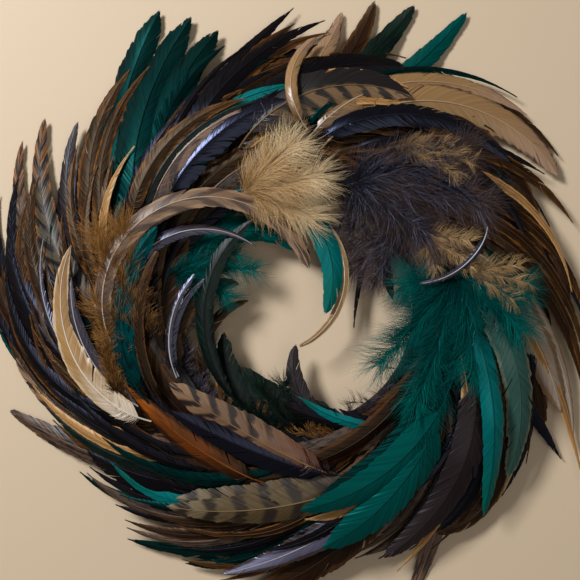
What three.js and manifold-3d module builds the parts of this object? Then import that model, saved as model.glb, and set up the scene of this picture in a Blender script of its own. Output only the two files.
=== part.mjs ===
// Feather fascinator: a wired, padded ring that wears like a halo. Rooster feathers are sewn to it in four
// tiers that all sweep clockwise, and two sprung alligator clips under the lining hold it in the hair.
// Millimetres, +Z up. The origin is the centre of the ring on the surface that the feather tips rest on.
import * as THREE from 'three';
import { mergeVertices } from 'three/addons/utils/BufferGeometryUtils.js';
import Module from 'manifold-3d';

const wasm = await Module();
wasm.setup();

// ---- driving dimensions -------------------------------------------------------------------------------
const GAP = 0.3; // air between pieces that touch
const RING_SEGMENTS = 48; // flats round each ring

const BASE_OUTER_RADIUS = 98.2; // stiff buckram ring
const BASE_INNER_RADIUS = 71.8;
const BASE_THICKNESS = 2;
const LINING_BOTTOM = 10.5; // height of the felt's underside above the table
const LINING_THICKNESS = 1;
const LINING_INNER_RADIUS = 75;
const LINING_OUTER_RADIUS = 95;
const WIRE_RADIUS = 0.8;
const CLOTH_THICKNESS = 0.5; // tapes and edge bindings
const BINDING_REACH = 6; // how far a binding folds over the base

const BASE_BOTTOM = LINING_BOTTOM + LINING_THICKNESS + GAP;
const BASE_TOP = BASE_BOTTOM + BASE_THICKNESS;
const CLOTH_ON_BASE = BASE_TOP + GAP; // underside of what is sewn on top of the base
const MIDDLE_STEP = 5.4; // rise of the padding roll's outer step
const TOP_STEP = 9.9; // rise of its inner step
const OUTER_ROW_RADIUS = 93; // where the quills of each row are sewn
const MIDDLE_ROW_RADIUS = 86.5;
const TOP_ROW_RADIUS = 80;
const INNER_ROW_RADIUS = 73.5;
const OUTER_TAPE = [90.2, 94]; // inner and outer radius of each header tape
const MIDDLE_TAPE = [84, 88.4];
const TOP_TAPE = [78.4, 82];
// Outline of the padding roll: [radius, rise above the base].
const PADDING_OUTLINE = [
  [77.3, 0], [89.3, 0], [89.7, 2.4], [88.8, MIDDLE_STEP], [83.6, MIDDLE_STEP], [83.2, 8.4],
  [82.2, TOP_STEP], [78.2, TOP_STEP], [76.9, 7.4], [76.8, 2],
];

const BLADE_HALF_THICKNESS = 0.45; // at the quill
const EDGE_HALF_THICKNESS = 0.15; // at the vane's edges
const DOWN_HALF_THICKNESS = 0.6; // through the middle of a loose down plume
const BLADE_STATIONS = 12; // sections along a feather
const QUILL_WIDTH = 1.8;
const TIP_DROOP_START = 0.78; // share of an outer feather's length where its tip starts down to the table

const CLIP_RADIUS = 85; // distance of each clip from the ring's centre
const CLIP_WIDTH = 8;
const CLIP_PLATE = 0.6; // sheet steel
const JAW_LENGTH = 29; // from the hinge to the tip
const TAIL_LENGTH = 14; // from the hinge to the finger end
const HINGE_DROP = 3.9; // hinge axis below the fixed jaw's top
const FIXED_EAR = { halfLength: 2.2, belowPin: 1.9 };
const LEVER_EAR = { halfLength: 2, abovePin: 1.8 };
const LEVER_KNEE = { reach: 3, drop: 2.9 }; // where the lever's plate bends: ahead of and below the hinge
const TAIL_FALL = 0.3; // drop of the finger end below the knee
const TIP_LIP = 1.2; // depth of the turned-up jaw tip
const PIN_RADIUS = 0.7;
const SPRING_RADIUS = 1.75;
const SPRING_WIRE_RADIUS = 0.33;
const SPRING_TURNS = 4;

// ---- materials ----------------------------------------------------------------------------------------
function finish(color, roughness, metalness = 0) {
  return new THREE.MeshStandardMaterial({ color, roughness, metalness });
}
const felt = finish(0x1c1a19, 0.95);
const buckram = finish(0x2b2622, 0.9);
const cloth = finish(0x171514, 0.85);
const steel = finish(0xb9bcc0, 0.3, 1);
const FEATHER_COLORS = {
  teal: 0x04474a, black: 0x16131a, brown: 0x35221a, ginger: 0x8a5a2b, cream: 0xc3a378, barred: 0x6d5138,
};

// ---- helpers ------------------------------------------------------------------------------------------
const headpiece = new THREE.Group();
headpiece.name = 'fascinator_headpiece';

function add(name, geometry, material, parent = headpiece) {
  const mesh = new THREE.Mesh(geometry, material);
  mesh.name = name;
  parent.add(mesh);
  return mesh;
}

// A ring turned from a closed outline of [radius, height] corners, listed anticlockwise.
function turnedRing(outline) {
  const points = [...outline, outline[0]].map(([radius, height]) => new THREE.Vector2(radius, height));
  const geometry = new THREE.LatheGeometry(points, RING_SEGMENTS);
  geometry.rotateX(Math.PI / 2);
  return geometry;
}

function flatRing(innerRadius, outerRadius, bottom, thickness) {
  const top = bottom + thickness;
  return turnedRing([[innerRadius, bottom], [outerRadius, bottom], [outerRadius, top], [innerRadius, top]]);
}

// A wire hoop of round section.
function hoop(radius, height, wireRadius) {
  const sides = 6;
  const outline = [];
  for (let i = 0; i < sides; i += 1) {
    const angle = (2 * Math.PI * i) / sides;
    outline.push([radius + wireRadius * Math.cos(angle), height + wireRadius * Math.sin(angle)]);
  }
  return turnedRing(outline);
}

// Turns a closed three.js geometry into a solid for joining and cutting, and back.
function toSolid(geometry) {
  geometry.deleteAttribute('normal');
  geometry.deleteAttribute('uv');
  const merged = mergeVertices(geometry);
  const vertProperties = new Float32Array(merged.attributes.position.array);
  return new wasm.Manifold(new wasm.Mesh({
    numProp: 3, vertProperties, triVerts: new Uint32Array(merged.index.array),
  }));
}

function toGeometry(solid) {
  const mesh = solid.getMesh();
  const geometry = new THREE.BufferGeometry();
  geometry.setAttribute('position', new THREE.BufferAttribute(new Float32Array(mesh.vertProperties), 3));
  geometry.setIndex(new THREE.BufferAttribute(new Uint32Array(mesh.triVerts), 1));
  return geometry;
}

function boxSolid(xRange, yRange, zRange) {
  const size = [xRange, yRange, zRange].map(([low, high]) => high - low);
  const middle = [xRange, yRange, zRange].map(([low, high]) => (low + high) / 2);
  const geometry = new THREE.BoxGeometry(...size);
  geometry.translate(...middle);
  return toSolid(geometry);
}

// A round bar along Y through [x, z].
function barSolid(x, z, radius, length) {
  const geometry = new THREE.CylinderGeometry(radius, radius, length, 16);
  geometry.translate(x, 0, z);
  return toSolid(geometry);
}

// ---- the wired ring -----------------------------------------------------------------------------------
function buildRing() {
  const wireHeight = BASE_BOTTOM + BASE_THICKNESS / 2;
  const outerWireRadius = BASE_OUTER_RADIUS + GAP + WIRE_RADIUS;
  const innerWireRadius = BASE_INNER_RADIUS - GAP - WIRE_RADIUS;
  const lining = flatRing(LINING_INNER_RADIUS, LINING_OUTER_RADIUS, LINING_BOTTOM, LINING_THICKNESS);
  add('felt_lining', lining, felt);
  add('buckram_base', flatRing(BASE_INNER_RADIUS, BASE_OUTER_RADIUS, BASE_BOTTOM, BASE_THICKNESS), buckram);
  add('outer_rim_wire', hoop(outerWireRadius, wireHeight, WIRE_RADIUS), steel);
  add('inner_rim_wire', hoop(innerWireRadius, wireHeight, WIRE_RADIUS), steel);
  add('outer_edge_binding', edgeBinding(outerWireRadius, 1), cloth);
  add('inner_edge_binding', edgeBinding(innerWireRadius, -1), cloth);
}

// Cloth folded over one edge of the base and its wire; side is 1 for the outer edge and -1 for the inner.
function edgeBinding(wireRadius, side) {
  const foldInside = wireRadius + side * (WIRE_RADIUS + GAP);
  const foldOutside = foldInside + side * CLOTH_THICKNESS;
  const topEnd = foldOutside - side * BINDING_REACH;
  const bottomEnd = side > 0 ? LINING_OUTER_RADIUS + GAP : LINING_INNER_RADIUS - GAP;
  const bottom = BASE_BOTTOM - GAP - CLOTH_THICKNESS;
  const top = CLOTH_ON_BASE + CLOTH_THICKNESS;
  const outline = [
    [bottomEnd, bottom], [foldOutside, bottom], [foldOutside, top], [topEnd, top],
    [topEnd, CLOTH_ON_BASE], [foldInside, CLOTH_ON_BASE], [foldInside, BASE_BOTTOM - GAP],
    [bottomEnd, BASE_BOTTOM - GAP],
  ];
  return turnedRing(side > 0 ? outline : outline.reverse());
}

// The stuffed roll has a low outer step and a high inner step, and a header tape lies on each.
function buildPaddingAndTapes() {
  const middleTop = CLOTH_ON_BASE + MIDDLE_STEP;
  const upperTop = CLOTH_ON_BASE + TOP_STEP;
  const roll = PADDING_OUTLINE.map(([radius, rise]) => [radius, CLOTH_ON_BASE + rise]);
  add('padding_roll', turnedRing(roll), cloth);
  add('outer_header_tape', flatRing(...OUTER_TAPE, CLOTH_ON_BASE, CLOTH_THICKNESS), cloth);
  add('middle_header_tape', flatRing(...MIDDLE_TAPE, middleTop + GAP, CLOTH_THICKNESS), cloth);
  add('top_header_tape', flatRing(...TOP_TAPE, upperTop + GAP, CLOTH_THICKNESS), cloth);
}

// ---- feathers -----------------------------------------------------------------------------------------
// A tier is a family of feathers that lie like roof shingles round the ring. At any place each feather is
// one "stack" above the next feather clockwise, so they never meet. loft lists [radius, height] of the
// tier's middle surface; sweep is how many degrees a feather drifts clockwise for each mm of radius.
const TIERS = {
  outer: {
    radius: OUTER_ROW_RADIUS, count: 18, firstSlot: 0, stack: 2.8, sweep: 0.6,
    loft: [[88, 15.6], [94, 15.9], [110, 21], [130, 21], [150, 15], [170, 9], [185, 5], [215, 3]],
  },
  middle: {
    radius: MIDDLE_ROW_RADIUS, count: 8, firstSlot: 0, stack: 2.8, sweep: 0.5,
    loft: [[80, 21], [87, 21.6], [100, 29], [115, 32.5], [135, 31.5], [150, 27], [170, 21], [200, 15]],
  },
  top: {
    radius: TOP_ROW_RADIUS, count: 9, firstSlot: 15, stack: 2.4, sweep: 0,
    loft: [[0, 31], [30, 31], [60, 29], [72, 27.5], [81, 26.6], [88, 31], [100, 37], [115, 40.5], [135, 39],
      [150, 34], [175, 27]],
  },
  inner: {
    radius: INNER_ROW_RADIUS, count: 6, firstSlot: 30, stack: 1.6, sweep: 0,
    loft: [[0, 5], [35, 7], [50, 11], [60, 14], [68, 15.6], [90, 15.6]],
  },
};

function interpolate(table, x) {
  let i = 1;
  while (i < table.length - 1 && x > table[i][0]) i += 1;
  const [x0, y0] = table[i - 1];
  const [x1, y1] = table[i];
  return THREE.MathUtils.mapLinear(THREE.MathUtils.clamp(x, x0, x1), x0, x1, y0, y1);
}

// Height of the shingle in a given slot at a place on the table plane.
function shingleHeight(tier, slot, x, y) {
  const spacing = 360 / tier.count;
  const radius = Math.hypot(x, y);
  const angle = THREE.MathUtils.radToDeg(Math.atan2(y, x));
  const ahead = THREE.MathUtils.euclideanModulo(tier.firstSlot + slot * spacing - angle + 120, 360) - 120;
  const drift = tier.sweep * Math.max(0, radius - tier.radius);
  return interpolate(tier.loft, radius) + (tier.stack * (ahead - drift)) / spacing;
}

// How wide a feather is along its length, as a share of its full width.
function vaneShare(along) {
  return Math.pow(Math.sin(Math.PI * Math.pow(along, 0.8)), 0.75);
}

// One feather: a thin curved blade with a raised quill line. root is degrees anticlockwise from +X, aim is
// degrees outward from the clockwise tangent, and curl is how far the feather turns clockwise along itself.
function featherBlade(tier, slot, feather) {
  const rootAngle = THREE.MathUtils.degToRad(feather.root);
  const step = feather.length / (BLADE_STATIONS - 1);
  let x = (feather.radius ?? tier.radius) * Math.cos(rootAngle);
  let y = (feather.radius ?? tier.radius) * Math.sin(rootAngle);
  const positions = [];
  for (let i = 0; i < BLADE_STATIONS; i += 1) {
    const along = i / (BLADE_STATIONS - 1);
    const heading = THREE.MathUtils.degToRad(feather.root - 90 + feather.aim - feather.curl * along);
    const half = Math.max(QUILL_WIDTH, feather.width * vaneShare(along)) / 2;
    const across = [-Math.sin(heading) * half, Math.cos(heading) * half];
    const ridge = feather.isDown && i > 0 ? DOWN_HALF_THICKNESS : BLADE_HALF_THICKNESS;
    const corners = [[1, EDGE_HALF_THICKNESS], [0, ridge], [-1, EDGE_HALF_THICKNESS],
      [-1, -EDGE_HALF_THICKNESS], [0, -ridge], [1, -EDGE_HALF_THICKNESS]];
    for (const [side, rise] of corners) {
      const place = [x + side * across[0], y + side * across[1]];
      const droop = feather.touchesTable ? THREE.MathUtils.smoothstep(along, TIP_DROOP_START, 1) : 0;
      const height = THREE.MathUtils.lerp(shingleHeight(tier, slot, ...place), BLADE_HALF_THICKNESS, droop);
      positions.push(...place, height + rise);
    }
    x += step * Math.cos(heading);
    y += step * Math.sin(heading);
  }
  return loftedBlade(positions);
}

// Joins six-cornered sections into one closed blade. Each facet's diagonal runs the same way on the underside
// as on the top, so a twisted blade keeps its thickness.
function loftedBlade(positions) {
  const corners = 6;
  const firstUnderside = 3;
  const sections = positions.length / 3 / corners;
  const index = [];
  for (let s = 0; s < sections - 1; s += 1) {
    for (let c = 0; c < corners; c += 1) {
      const a = s * corners + c;
      const b = s * corners + ((c + 1) % corners);
      if (c < firstUnderside) index.push(a, b, a + corners, b, b + corners, a + corners);
      else index.push(a, b, b + corners, a, b + corners, a + corners);
    }
  }
  const last = (sections - 1) * corners;
  for (let c = 1; c < corners - 1; c += 1) {
    index.push(0, c + 1, c, last, last + c, last + c + 1);
  }
  const geometry = new THREE.BufferGeometry();
  geometry.setAttribute('position', new THREE.BufferAttribute(new Float32Array(positions), 3));
  geometry.setIndex(index);
  return geometry;
}

// Long feathers of the outer row, one for each slot from +X anticlockwise. Their tips touch the table.
const OUTER_FEATHERS = [
  { aim: 28, curl: 72, length: 156, width: 24, color: 'black' },
  { aim: 31, curl: 62, length: 138, width: 20, color: 'teal' },
  { aim: 34, curl: 58, length: 172, width: 14, color: 'ginger' },
  { aim: 46, curl: 90, length: 160, width: 16, color: 'brown' },
  { aim: 52, curl: 98, length: 166, width: 24, color: 'cream' },
  { aim: 24, curl: -18, length: 136, width: 16, color: 'teal' },
  { aim: 26, curl: -12, length: 112, width: 22, color: 'cream' },
  { aim: 28, curl: 48, length: 152, width: 18, color: 'black' },
  { aim: 28, curl: 52, length: 154, width: 26, color: 'teal' },
  { aim: 34, curl: 54, length: 164, width: 26, color: 'brown' },
  { aim: 52, curl: 79, length: 168, width: 18, color: 'barred' },
  { aim: 55, curl: 90, length: 167, width: 20, color: 'brown' },
  { aim: 45, curl: 66, length: 146, width: 22, color: 'brown' },
  { aim: 30, curl: 45, length: 158, width: 24, color: 'barred' },
  { aim: 48, curl: 76, length: 146, width: 20, color: 'teal' },
  { aim: 32, curl: 60, length: 154, width: 24, color: 'barred' },
  { aim: 32, curl: 56, length: 158, width: 22, color: 'brown' },
  { aim: 27, curl: 60, length: 156, width: 22, color: 'cream' },
];
// The middle row, by slot.
const MIDDLE_FEATHERS = [
  { name: 'bright_teal_feather', root: 10, radius: 88, aim: 14, curl: 34, length: 144, width: 14,
    color: 'teal' },
  { name: 'smoky_feather', root: 62, radius: 88, aim: 46, curl: 78, length: 140, width: 16, color: 'brown' },
  { name: 'mottled_feather', root: 106, radius: 92, aim: 34, curl: 74, length: 118, width: 24,
    color: 'barred' },
  { name: 'rosy_tan_feather', root: 150, radius: 92, aim: 24, curl: 66, length: 104, width: 18,
    color: 'cream' },
  { name: 'golden_cream_feather', root: 204, radius: 98, aim: 36, curl: 90, length: 122, width: 24,
    color: 'cream' },
  { name: 'spotted_teal_feather', root: 216, radius: 98, aim: 8, curl: 82, length: 112, width: 15,
    color: 'teal' },
  { name: 'olive_barred_feather', root: 292, radius: 100, aim: 4, curl: 40, length: 128, width: 18,
    color: 'barred' },
  { name: 'purple_black_feather', root: 334, radius: 96, aim: 46, curl: 76, length: 112, width: 18,
    color: 'black' },
];
// Plumes sewn on last, by slot.
const TOP_PLUMES = [
  { name: 'teal_down_plume', root: 14, radius: 92, aim: -14, curl: 12, length: 112, width: 62, isDown: true,
    color: 'teal' },
  { name: 'black_down_plume', root: 66, aim: 22, curl: 24, length: 92, width: 54, isDown: true,
    color: 'black' },
  { name: 'cream_down_plume', root: 112, aim: 6, curl: 4, length: 66, width: 50, isDown: true,
    color: 'cream' },
  { name: 'glossy_teal_curl', root: 122, aim: -21, curl: 122, length: 112, width: 13, color: 'teal' },
  { name: 'brown_down_plume', root: 190, radius: 90, aim: 24, curl: 16, length: 76, width: 40, isDown: true,
    color: 'brown' },
  { name: 'arching_barred_plume', root: 193, radius: 106, aim: 12, curl: 180, length: 192, width: 12,
    color: 'barred' },
  { name: 'orange_brown_plume', root: 260, radius: 103, aim: -12, curl: 26, length: 100, width: 12,
    color: 'ginger' },
  { name: 'broad_barred_plume', root: 283, radius: 98, aim: -30, curl: 18, length: 110, width: 20,
    color: 'barred' },
  { name: 'long_teal_plume', root: 346, radius: 92, aim: 4, curl: 74, length: 150, width: 20, color: 'teal' },
];
// Short feathers that droop into the opening, by slot.
const INNER_FEATHERS = [
  { root: 46, aim: -52, curl: -6, length: 66, width: 8, color: 'brown' },
  { root: 92, aim: -24, curl: 62, length: 58, width: 12, color: 'teal' },
  { root: 152, aim: -22, curl: 84, length: 62, width: 12, color: 'teal' },
  { root: 200, aim: -14, curl: 100, length: 62, width: 12, color: 'brown' },
  { root: 244, aim: -22, curl: 100, length: 100, width: 11, color: 'teal' },
  { root: 316, aim: -32, curl: 44, length: 60, width: 12, color: 'black' },
];

function addFeather(name, tier, slot, feather) {
  add(name, featherBlade(tier, slot, feather), finish(FEATHER_COLORS[feather.color], 0.5));
}

function buildFeathers() {
  OUTER_FEATHERS.forEach((feather, slot) => {
    const root = (slot * 360) / TIERS.outer.count;
    const name = `outer_feather_${String(slot + 1).padStart(2, '0')}`;
    addFeather(name, TIERS.outer, slot, { ...feather, root, touchesTable: true });
  });
  MIDDLE_FEATHERS.forEach((feather, slot) => addFeather(feather.name, TIERS.middle, slot, feather));
  TOP_PLUMES.forEach((feather, slot) => addFeather(feather.name, TIERS.top, slot, feather));
  INNER_FEATHERS.forEach((feather, slot) => {
    addFeather(`inner_feather_${slot + 1}`, TIERS.inner, slot, feather);
  });
}

// ---- hair clips ---------------------------------------------------------------------------------------
// A clip is drawn with its hinge axis along Y, its jaw towards +X and the fixed jaw's top at z = 0.
function fixedJaw() {
  const half = CLIP_WIDTH / 2;
  let solid = boxSolid([-TAIL_LENGTH, JAW_LENGTH + 1], [-half, half], [-CLIP_PLATE, 0]);
  for (const side of [-1, 1]) {
    const inner = side * (half - CLIP_PLATE);
    const ear = boxSolid([-FIXED_EAR.halfLength, FIXED_EAR.halfLength],
      [Math.min(inner, side * half), Math.max(inner, side * half)],
      [-HINGE_DROP - FIXED_EAR.belowPin, -CLIP_PLATE / 2]);
    solid = solid.add(ear);
  }
  return toGeometry(solid.subtract(barSolid(0, -HINGE_DROP, PIN_RADIUS + GAP, CLIP_WIDTH + 2)));
}

// The lever's plate runs from the jaw tip, down past the hinge, and on to the finger end.
function leverJaw() {
  const width = CLIP_WIDTH - 2 * (CLIP_PLATE + GAP);
  const tipTop = -CLIP_PLATE - GAP;
  const knee = -HINGE_DROP - LEVER_KNEE.drop;
  const tail = knee - TAIL_FALL;
  const outline = new THREE.Shape([
    [JAW_LENGTH, tipTop], [JAW_LENGTH, tipTop - TIP_LIP], [LEVER_KNEE.reach, knee], [-TAIL_LENGTH, tail],
    [-TAIL_LENGTH, tail + CLIP_PLATE], [LEVER_KNEE.reach, knee + CLIP_PLATE],
    [JAW_LENGTH - 1.4, tipTop - CLIP_PLATE], [JAW_LENGTH - 1, tipTop],
  ].map(([x, z]) => new THREE.Vector2(x, z)));
  const plate = new THREE.ExtrudeGeometry(outline, { depth: width, bevelEnabled: false });
  plate.rotateX(Math.PI / 2);
  plate.translate(0, width / 2, 0);
  let solid = toSolid(plate);
  for (const side of [-1, 1]) {
    const outer = (side * width) / 2;
    const inner = side * (width / 2 - CLIP_PLATE);
    const ear = boxSolid([-LEVER_EAR.halfLength, LEVER_EAR.halfLength],
      [Math.min(inner, outer), Math.max(inner, outer)],
      [knee + CLIP_PLATE / 4, -HINGE_DROP + LEVER_EAR.abovePin]);
    solid = solid.add(ear);
  }
  return toGeometry(solid.subtract(barSolid(0, -HINGE_DROP, PIN_RADIUS + GAP, CLIP_WIDTH + 2)));
}

function hingePin() {
  const geometry = new THREE.CylinderGeometry(PIN_RADIUS, PIN_RADIUS, CLIP_WIDTH + 1.2, 12);
  geometry.translate(0, 0, -HINGE_DROP);
  return geometry;
}

class SpringCurve extends THREE.Curve {
  getPoint(t, target = new THREE.Vector3()) {
    const angle = 2 * Math.PI * SPRING_TURNS * t;
    const reach = CLIP_WIDTH / 2 - 2 * (CLIP_PLATE + GAP) - SPRING_WIRE_RADIUS;
    return target.set(SPRING_RADIUS * Math.cos(angle), reach * (2 * t - 1),
      SPRING_RADIUS * Math.sin(angle) - HINGE_DROP);
  }
}

function coilSpring() {
  const sides = 5;
  const section = new THREE.Shape();
  for (let i = 0; i < sides; i += 1) {
    const angle = (2 * Math.PI * i) / sides;
    const place = [SPRING_WIRE_RADIUS * Math.cos(angle), SPRING_WIRE_RADIUS * Math.sin(angle)];
    if (i === 0) section.moveTo(...place);
    else section.lineTo(...place);
  }
  return new THREE.ExtrudeGeometry(section, { extrudePath: new SpringCurve(), steps: SPRING_TURNS * 10 });
}

function buildClip(side, turn) {
  const clip = new THREE.Group();
  clip.position.set(CLIP_RADIUS * Math.cos(turn), CLIP_RADIUS * Math.sin(turn), LINING_BOTTOM - GAP);
  clip.rotation.z = turn - Math.PI / 2;
  headpiece.add(clip);
  add(`${side}_clip_fixed_jaw`, fixedJaw(), steel, clip);
  add(`${side}_clip_lever_jaw`, leverJaw(), steel, clip);
  add(`${side}_clip_hinge_pin`, hingePin(), steel, clip);
  add(`${side}_clip_spring`, coilSpring(), steel, clip);
}

buildRing();
buildPaddingAndTapes();
buildFeathers();
buildClip('right', 0);
buildClip('left', Math.PI);

export default headpiece;
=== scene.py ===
"""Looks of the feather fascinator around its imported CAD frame: every feather is built barb by barb."""

import math

import bpy
import numpy as np
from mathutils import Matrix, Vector


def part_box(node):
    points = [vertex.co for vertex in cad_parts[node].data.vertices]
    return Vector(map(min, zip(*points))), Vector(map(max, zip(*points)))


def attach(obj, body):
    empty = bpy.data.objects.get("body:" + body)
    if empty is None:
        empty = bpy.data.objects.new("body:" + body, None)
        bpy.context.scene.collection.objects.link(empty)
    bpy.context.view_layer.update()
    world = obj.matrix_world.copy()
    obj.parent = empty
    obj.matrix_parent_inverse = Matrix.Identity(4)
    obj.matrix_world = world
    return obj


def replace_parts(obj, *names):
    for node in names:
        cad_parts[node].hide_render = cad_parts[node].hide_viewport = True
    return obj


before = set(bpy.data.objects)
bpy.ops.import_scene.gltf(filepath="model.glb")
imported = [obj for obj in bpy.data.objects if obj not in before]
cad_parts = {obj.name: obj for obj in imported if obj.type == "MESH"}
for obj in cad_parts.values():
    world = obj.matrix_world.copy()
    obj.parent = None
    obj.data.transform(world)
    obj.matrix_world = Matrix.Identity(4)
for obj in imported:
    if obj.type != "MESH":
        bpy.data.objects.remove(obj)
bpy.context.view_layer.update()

MM = 0.001
BODY = "headpiece"
RANDOM = np.random.default_rng(7)

# Height in mm of the heap of feathers' lowest layer, by distance from the ring's centre in mm.
HEAP_RADII = [30, 50, 68, 80, 95, 115, 132, 150, 168, 185, 215]
HEAP_HEIGHTS = [8, 11, 15, 18, 19, 22, 20, 12.5, 5, 0.2, 0]
LAYER_STEP = 2.5  # mm between one layer of feathers and the next
RISE_PER_DEGREE = 0.035  # mm that a feather climbs over its neighbours as it sweeps round the ring
TIP_LAYER_SHARE = 0.45  # how much of its layer's height a feather keeps far outside the ring
OUTSIDE_FROM, OUTSIDE_OVER = 130, 50  # mm from the centre where a feather leaves the heap, and over how far
ROOT_DIP = 5.0  # mm that a quill's end sinks between its neighbours
ROOT_DIP_LENGTH = 16.0  # mm of quill over which it sinks
SPINE_STEPS = 64
SMOOTHING = 13  # spine steps that a feather's height is averaged over

QUILL_SIDES, QUILL_ROWS = 5, 28
QUILL_END = 0.985  # share of the feather's length that its quill reaches
QUILL_TONE = 2.0  # marks a quill for the materials; barbs have a tone of 0 to 1
VANE_COLUMNS = 6
BARB_ANGLE = 46  # degrees between quill and barbs at the base of a vane
BARB_CLOSING = 30  # degrees that the barbs have closed to the quill by the tip
LEAST_BARB = 1.6  # mm
EDGE_SWELL, SWELL_ROWS = 0.07, 9  # how much a vane's edge swells, and over how many barbs
LOCK_SLIDE, LOCK_LIFT = 0.1, 0.05  # how far the parts of a split vane slide and lift, as shares of its width
BARB_RIDGE = 0.05  # mm that single barbs stand up
TIP_SLOPE = 0.5  # how fast a vane narrows to its tip, half width over length
TIP_OVERHANG = 2.0  # mm that the last barbs reach past the quill
STRAND_POINTS = 7
STRAND_RIPPLES = 8  # how often a strand waves along itself, in radians
DOWN_ANGLES, DOWN_BEND = (18, 85), 35  # degrees at which down leaves its quill, and that it then bends
DOWN_RISE, DOWN_THICKNESS = (-0.1, 0.55), 0.22


# ---- placing feathers ----
class Spine:
    """The curved middle line of one feather, in mm, with a frame along it: tangent, side and up.

    root is degrees anticlockwise from +X, aim is degrees outward from the clockwise tangent, and curl is how
    far the feather turns clockwise along itself. layer is its height in the heap.
    """

    def __init__(self, root, radius, aim, curl, length, layer, roll=-7):
        self.length = length
        share = np.linspace(0, 1, SPINE_STEPS)
        heading = np.radians(root - 90 + aim - curl * share)
        step = length / (SPINE_STEPS - 1)
        x = radius * math.cos(math.radians(root)) + step * np.r_[0, np.cumsum(np.cos(heading))[:-1]]
        y = radius * math.sin(math.radians(root)) + step * np.r_[0, np.cumsum(np.sin(heading))[:-1]]
        distance = np.hypot(x, y)
        swept = root - np.degrees(np.unwrap(np.arctan2(y, x)))
        swept -= swept[0]
        outside = np.clip((distance - OUTSIDE_FROM) / OUTSIDE_OVER, 0, 1)
        layer_share = 1 - (1 - TIP_LAYER_SHARE) * outside
        z = np.interp(distance, HEAP_RADII, HEAP_HEIGHTS) + layer * LAYER_STEP * layer_share
        z += RISE_PER_DEGREE * swept
        z -= ROOT_DIP * np.clip(1 - share * length / ROOT_DIP_LENGTH, 0, 1) ** 2
        kernel = np.hanning(SMOOTHING)
        z = np.convolve(np.pad(z, SMOOTHING // 2, mode="edge"), kernel / kernel.sum(), mode="valid")
        self.points = np.stack([x, y, z], 1)
        self.along = np.r_[0, np.cumsum(np.linalg.norm(np.diff(self.points, axis=0), axis=1))]
        self.along *= length / self.along[-1]
        tangent = np.gradient(self.points, axis=0)
        tangent /= np.linalg.norm(tangent, axis=1)[:, None]
        side = np.cross([0, 0, 1], tangent)
        side /= np.linalg.norm(side, axis=1)[:, None]
        up = np.cross(tangent, side)
        lean = math.radians(roll)
        self.tangent = tangent
        self.side = math.cos(lean) * side + math.sin(lean) * up
        self.up = np.cross(tangent, self.side)

    def _at(self, table, p):
        """A table of vectors along the spine, read at p mm."""
        flat = p.ravel()
        return np.stack([np.interp(flat, self.along, table[:, k]) for k in range(3)], 1).reshape(*p.shape, 3)

    def place(self, p, q, n):
        """Points p mm along the feather, q mm to its side and n mm above it."""
        inside = np.clip(p, 0, self.length)
        return (
            self._at(self.points, inside)
            + self._at(self.tangent, inside) * (p - inside)[..., None]
            + self._at(self.side, inside) * q[..., None]
            + self._at(self.up, inside) * n[..., None]
        )


def add_object(name, data):
    made = bpy.data.objects.new(name, data)
    bpy.context.scene.collection.objects.link(made)
    return made


class Parts:
    """Collects the quads of one mesh, in mm, with each corner's feather coordinates: share of the length,
    signed share of the half width, and the barb's tone.
    """

    def __init__(self):
        self.points, self.coords, self.quads, self.count = [], [], [], 0

    def add(self, points, coords, quads):
        self.points.append(points.reshape(-1, 3))
        self.coords.append(coords.reshape(-1, 3))
        self.quads.append(quads + self.count)
        self.count += points.size // 3

    def build(self, name, material, slot):
        """Makes the piece. Its UVs lay the feather coordinates out flat, just inside the unit square."""
        points = np.concatenate(self.points) * MM
        points[:, 2] = np.maximum(points[:, 2], 0)
        coords = np.concatenate(self.coords)
        quads = np.concatenate(self.quads)
        mesh = bpy.data.meshes.new(name)
        mesh.vertices.add(len(points))
        mesh.vertices.foreach_set("co", points.astype(np.float32).ravel())
        mesh.loops.add(quads.size)
        mesh.loops.foreach_set("vertex_index", quads.astype(np.int32).ravel())
        mesh.polygons.add(len(quads))
        mesh.polygons.foreach_set("loop_start", np.arange(0, quads.size, 4, dtype=np.int32))
        mesh.polygons.foreach_set("use_smooth", np.ones(len(quads), bool))
        mesh.update(calc_edges=True)
        stored = mesh.attributes.new("feather", "FLOAT_VECTOR", "POINT")
        stored.data.foreach_set("vector", coords.astype(np.float32).ravel())
        across = 0.5 + 0.47 * np.clip(coords[:, 1], -1, 1)
        along = 0.02 + 0.96 * np.clip(coords[:, 0], 0, 1)
        flat = np.stack([across, along], 1)
        layer = mesh.uv_layers.new(name="OFBake")
        layer.data.foreach_set("uv", flat[quads.ravel()].astype(np.float32).ravel())
        piece = add_object(name, mesh)
        mesh.materials.append(material)
        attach(piece, BODY)
        return piece


def grid_quads(rows, columns, keep=None):
    """Quads of a grid of points, rows x columns. keep says which of them are made."""
    row, column = np.meshgrid(np.arange(rows - 1), np.arange(columns - 1), indexing="ij")
    if keep is not None:
        row, column = row[keep], column[keep]
    corner = (row * columns + column).ravel()
    return np.stack([corner, corner + 1, corner + columns + 1, corner + columns], 1)


# ---- feather shapes ----
# How a vane's width rises from the quill and falls to the tip, as powers, and in how many places it splits.
OUTLINES = {"broad": (0.35, 0.76), "lance": (0.45, 0.95), "leaf": (0.8, 0.9), "ribbon": (0.25, 0.42),
            "taper": (0.3, 0.85)}
SPLITS = {"broad": 4, "lance": 3, "leaf": 1, "ribbon": 1, "taper": 3}


def outline(share, shape):
    rise, fall = OUTLINES[shape]
    peak = rise / (rise + fall)
    return (share**rise * (1 - share) ** fall) / (peak**rise * (1 - peak) ** fall)


def quill_radius(width):
    return 0.25 + width * 0.012


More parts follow.
